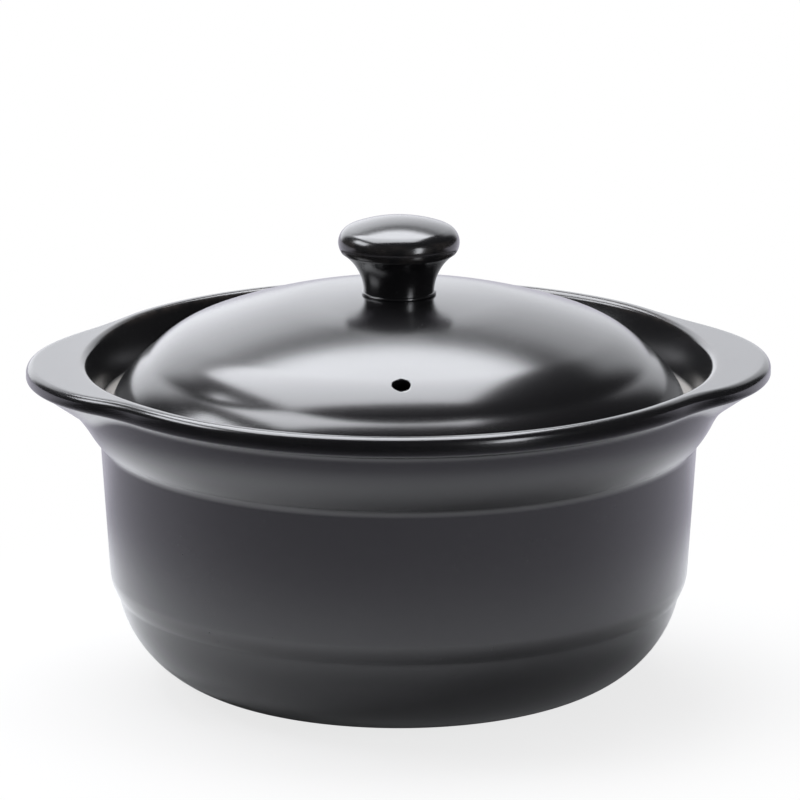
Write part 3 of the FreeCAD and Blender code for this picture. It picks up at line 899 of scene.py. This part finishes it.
pot_finish = glaze("black_glaze_pot", pot_thin, pot_bare)
lid_finish = glaze("black_glaze_lid", lid_thin, lid_bare)
knob_finish = glaze("black_glaze_knob", knob_thin)

pot = pot_mesh()
pot.data.materials.append(pot_finish)

wheel = wheel_group()
lid = worked("lid_glazed", profile_mesh("lid_section", lid_profile()), wheel,
             steps_round=280, unevenness=HAND_WAVER * MM, unevenness_size=LID_WAVER_SIZE * MM,
             seed=3.0, finish=lid_finish)
knob = worked("knob_glazed", profile_mesh("knob_section", knob_profile()), wheel,
              steps_round=200, unevenness=HAND_WAVER * MM, unevenness_size=KNOB_WAVER_SIZE * MM,
              seed=7.0, finish=knob_finish)
vent_tool = worked("vent_tool", profile_mesh("vent_section", vent_profile()), wheel,
                   steps_round=48, unevenness=0.0, unevenness_size=1.0, seed=1.0,
                   finish=lid_finish)
vent_place, vent_slope = lid_surface_at(VENT_DISTANCE)
pierce(lid, vent_tool,
       Matrix.Rotation(math.radians(-VENT_BEARING), 4, "Z")
       @ Matrix.Translation((0, -vent_place[0] * MM, vent_place[1] * MM))
       @ Matrix.Rotation(math.radians(vent_slope), 4, "X"))
dome_fall = KNOB_NECK_RADIUS ** 2 / (2 * CROWN_RADIUS)
seam = worked("knob_seam_glaze", bpy.data.meshes.new("seam_start"), seam_group(),
              ring_radius=(KNOB_NECK_RADIUS + SEAM_STANDOFF) * MM,
              ring_height=(CROWN_HEIGHT - dome_fall + SEAM_LIFT) * MM,
              roll_radius=SEAM_RADIUS * MM, waver=SEAM_WAVER * MM, swell=SEAM_SWELL,
              waves=SEAM_WAVES, seed=2.0, finish=knob_finish)

for piece, body, node in ((pot, "pot", "pot"), (lid, "lid", "lid"), (knob, "lid", "knob")):
    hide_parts(node)
    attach(piece, body)
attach(seam, "lid")


# ==================================================================================== studio

def kinds_of_ray(tree):
    """Whether a ray comes from the camera, and whether it is one that the glaze mirrors."""
    path = tree.add("ShaderNodeLightPath")
    camera = path.out("Is Camera Ray")
    mirrored = (path.out("Is Glossy Ray") + path.out("Is Transmission Ray")).math("MINIMUM", 1.0)
    return camera, mirrored * (1 - camera)


def stage_floor():
    """A wide white floor that keeps the pot's shadow and turns to plain white further out; the glaze
    mirrors a painted glow on it, darker towards the camera.
    """
    mesh = bpy.data.meshes.new("floor")
    corners = [(x * FLOOR_REACH, y * FLOOR_REACH, 0) for x, y in ((-1, -1), (1, -1), (1, 1), (-1, 1))]
    mesh.from_pydata(corners, [], [(0, 1, 2, 3)])
    floor = bpy.data.objects.new("floor", mesh)
    bpy.context.collection.objects.link(floor)
    finish = bpy.data.materials.new("floor_white")
    finish.use_nodes = True
    tree = Tree(finish.node_tree)
    place = tree.add("ShaderNodeTexCoord", output="Object")
    away = tree.add("ShaderNodeVectorMath", {"operation": "LENGTH"}, [place], output="Value")
    backwards = tree.add("ShaderNodeSeparateXYZ", {}, [place]).out("Y")
    camera, mirrored = kinds_of_ray(tree)
    shadowed = tree.ramp(away, *SHADOW_FADE, SHADOW_KEPT, 0.0)
    whitened = camera * (1 - shadowed) + mirrored * tree.ramp(away, *MIRROR_FADE)
    paint = tree.add("ShaderNodeBsdfDiffuse", {}, {"Color": FLOOR_COLOUR})
    # the floor's glow as the glaze mirrors it: painted light, darker towards the camera and past the
    # floor's edge as painted shade
    near = (tree.ramp(backwards, -FRONT_DEPTH, 0.0, FRONT_LEVEL, SIDE_LEVEL)
            * tree.ramp(away, *FLOOR_EDGE, 1.0, STUDIO_DARK))
    behind = tree.ramp(backwards, 0.0, FRONT_DEPTH, 0.0, BACK_LEVEL)
    # plain white for the camera; for the glaze, the painted glow of the floor
    white = tree.add("ShaderNodeEmission", {}, {
        "Color": tree.colour(camera, COOL_FLOOR, WHITE),
        "Strength": camera + mirrored * near.math("MAXIMUM", behind)})
    blend = tree.add("ShaderNodeMixShader", {}, [whitened, paint, white])
    tree.add("ShaderNodeOutputMaterial", {}, {"Surface": blend})
    mesh.materials.append(finish)


def studio_world():
    """Plain white for the camera, a pale panel behind the pot for the glaze, and dim light."""
    world = bpy.data.worlds.new("studio")
    bpy.context.scene.world = world
    world.use_nodes = True
    tree = Tree(world.node_tree)
    axes = tree.add("ShaderNodeSeparateXYZ", {}, [tree.add("ShaderNodeTexCoord", output="Generated")])
    aside, backwards, upwards = axes.out("X"), axes.out("Y"), axes.out("Z")
    camera, mirrored = kinds_of_ray(tree)
    panel = (tree.ramp(upwards, *PANEL_TOP) * tree.ramp(backwards, *PANEL_BACK)
             * tree.ramp(aside, -PANEL_SIDE[0], -PANEL_SIDE[1]) * tree.ramp(aside, *PANEL_SIDE)
             * tree.ramp(aside, *PANEL_TURN, PANEL_LEFT, PANEL_RIGHT))
    plain = (1 - camera) * (1 - mirrored) * WORLD_LEVEL
    sky = tree.add("ShaderNodeBackground", {}, {
        "Color": tree.colour(camera, COOL_LIGHT, WHITE),
        "Strength": camera + mirrored * (panel + STUDIO_DARK) + plain})
    tree.add("ShaderNodeOutputWorld", {}, {"Surface": sky})


def softbox(name, place, width, depth, radiance):
    """A flat lamp of even brightness that faces the foot of the knob, with its width along X."""
    lamp = bpy.data.lights.new(name, "AREA")
    lamp.shape = "RECTANGLE"
    lamp.size = width
    lamp.size_y = depth
    lamp.energy = radiance * width * depth * 4
    lamp.color = COOL_LIGHT
    holder = bpy.data.objects.new(name, lamp)
    holder.location = place
    back = (Vector(place) - Vector(LAMP_TARGET)).normalized()
    side = (Vector((1, 0, 0)) - back * back.x).normalized()
    holder.rotation_euler = Matrix((side, back.cross(side), back)).transposed().to_euler()
    bpy.context.collection.objects.link(holder)


def studio_camera():
    """The camera at the photograph's viewing angle, far away with a long lens."""
    camera = bpy.data.cameras.new("camera")
    camera.lens = CAMERA_LENS
    camera.sensor_width = CAMERA_SENSOR
    camera.clip_end = CAMERA_CLIP
    holder = bpy.data.objects.new("camera", camera)
    bpy.context.collection.objects.link(holder)
    azimuth, elevation = math.radians(CAMERA_AZIMUTH), math.radians(CAMERA_ELEVATION)
    back = Vector((math.sin(azimuth) * math.cos(elevation),
                   -math.cos(azimuth) * math.cos(elevation), math.sin(elevation)))
    holder.location = Vector((0, 0, POT_HEIGHT * MM)) + back * CAMERA_DISTANCE
    aim = Vector((AIM_ASIDE, 0, AIM_HEIGHT))
    holder.rotation_euler = (aim - holder.location).to_track_quat("-Z", "Y").to_euler()
    bpy.context.scene.camera = holder


stage_floor()
studio_world()
softbox("overhead", (-0.165, 0.405, 1.32), width=1.30, depth=1.16, radiance=4.5)
softbox("overhead_wing", (-0.98, 0.09, 0.885), width=0.34, depth=0.60, radiance=5.0)
softbox("right_strip", (0.85, -1.20, 0.55), width=0.30, depth=0.90, radiance=5.0)
studio_camera()
bpy.context.scene.view_settings.view_transform = "Standard"
